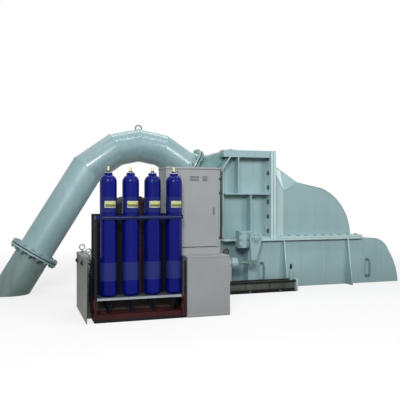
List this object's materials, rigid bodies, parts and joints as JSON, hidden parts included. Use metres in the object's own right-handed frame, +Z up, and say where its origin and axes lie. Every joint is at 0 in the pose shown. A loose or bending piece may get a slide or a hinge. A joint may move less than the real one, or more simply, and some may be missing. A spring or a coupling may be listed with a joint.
{
  "type": "water turbine with inlet bend and governor unit",
  "caption": "Small hydropower water turbine: inlet pipe bend, guide box, hood and base casing, guide vane servomotor, and an oil-pressure governor with blue accumulator bottles.",
  "frame": {"origin": "on the floor, under the middle of the whole set", "axes": "+X along the set from the pressure pipe to the casing's round end, +Y away from the governor towards the generator, +Z up"},
  "size_m": [7.4032, 3.76, 2.8793],
  "materials": {
    "casing_paint": "grey-green machine enamel, satin, brushed and sprayed on welded plate",
    "cabinet_paint": "light grey powder coat, satin",
    "tank_paint": "light grey enamel, satin",
    "bottle_paint": "deep blue gloss enamel",
    "rack_red_paint": "dark red primer, matt",
    "rack_dark_paint": "black enamel, satin",
    "shelf_paint": "off-white enamel, satin",
    "valve_brass": "turned brass, dulled",
    "machined_steel": "turned and ground steel",
    "motor_paint": "dark grey motor enamel, satin",
    "gauge_case": "black gauge case",
    "handle_grey": "grey moulded handle"
  },
  "bodies": {
    "plant": {"penstock_stub": "casing_paint", "stub_flange": "casing_paint", "bend_lower_flange": "casing_paint", "bend_lower_leg": "casing_paint", "bend_mitre_1": "casing_paint", "bend_mitre_2": "casing_paint", "bend_mitre_3": "casing_paint", "bend_outlet_leg": "casing_paint", "bend_outlet_flange": "casing_paint", "bend_lifting_lug": "casing_paint", "inlet_adapter": "casing_paint", "box_mouth_flange": "casing_paint", "guide_box": "casing_paint", "box_front_ribs": "casing_paint", "box_rear_ribs": "casing_paint", "box_end_flange": "casing_paint", "hood_end_flange": "casing_paint", "hood_casing": "casing_paint", "hood_foot_flange": "casing_paint", "base_top_flange": "casing_paint", "base_front_plate": "casing_paint", "base_rear_plate": "casing_paint", "base_end_cover": "casing_paint", "base_left_plate": "casing_paint", "base_narrow_part": "casing_paint", "base_front_gussets": "casing_paint", "base_rear_gussets": "casing_paint", "base_front_handles": "casing_paint", "base_rear_handles": "casing_paint", "shaft_seal_housing": "casing_paint", "drive_shaft": "machined_steel", "vane_bearing": "casing_paint", "servo_cylinder": "casing_paint", "servo_stands": "casing_paint", "pressure_gauge": "gauge_case", "servo_frame": "casing_paint", "knob_post": "casing_paint", "oil_tank": "tank_paint", "tank_lid": "tank_paint", "lower_cabinet": "cabinet_paint", "cabinet_shell": "cabinet_paint", "pump_motor": "motor_paint", "tank_eyebolts": "machined_steel", "accumulator_1": "bottle_paint", "accumulator_2": "bottle_paint", "accumulator_3": "bottle_paint", "accumulator_4": "bottle_paint", "accumulator_valves": "valve_brass", "accumulator_ports": "rack_dark_paint", "rack_shelf": "shelf_paint", "rack_frame": "rack_red_paint", "rack_middle_post": "rack_red_paint", "rack_clamp_band": "rack_dark_paint", "rack_back_panel": "rack_dark_paint"},
    "door": {"cabinet_door": "cabinet_paint", "door_handle": "handle_grey"},
    "vane_lever": {"guide_vane_lever": "casing_paint"},
    "link": {"link_rod": "machined_steel"}
  },
  "joints": [
    {"name": "door_hinge", "type": "hinge", "parent": "plant", "child": "door", "pos_m": [-1.1, -1.5653, 1.4], "axis": [0, 0, -1], "range_deg": [0, 90]},
    {"name": "lever_hinge", "type": "hinge", "parent": "plant", "child": "vane_lever", "pos_m": [0.648, -0.12, 0.898], "axis": [0, -1, 0], "range_deg": [-6, 18]},
    {"name": "link_slide", "type": "slide", "parent": "plant", "child": "link", "axis": [1, 0, 0], "range_m": [-0.0435, 0.13]}
  ],
  "couplings": [
    {"joint": "link_slide", "follows": "lever_hinge", "m_per_rad": 0.4125}
  ]
}
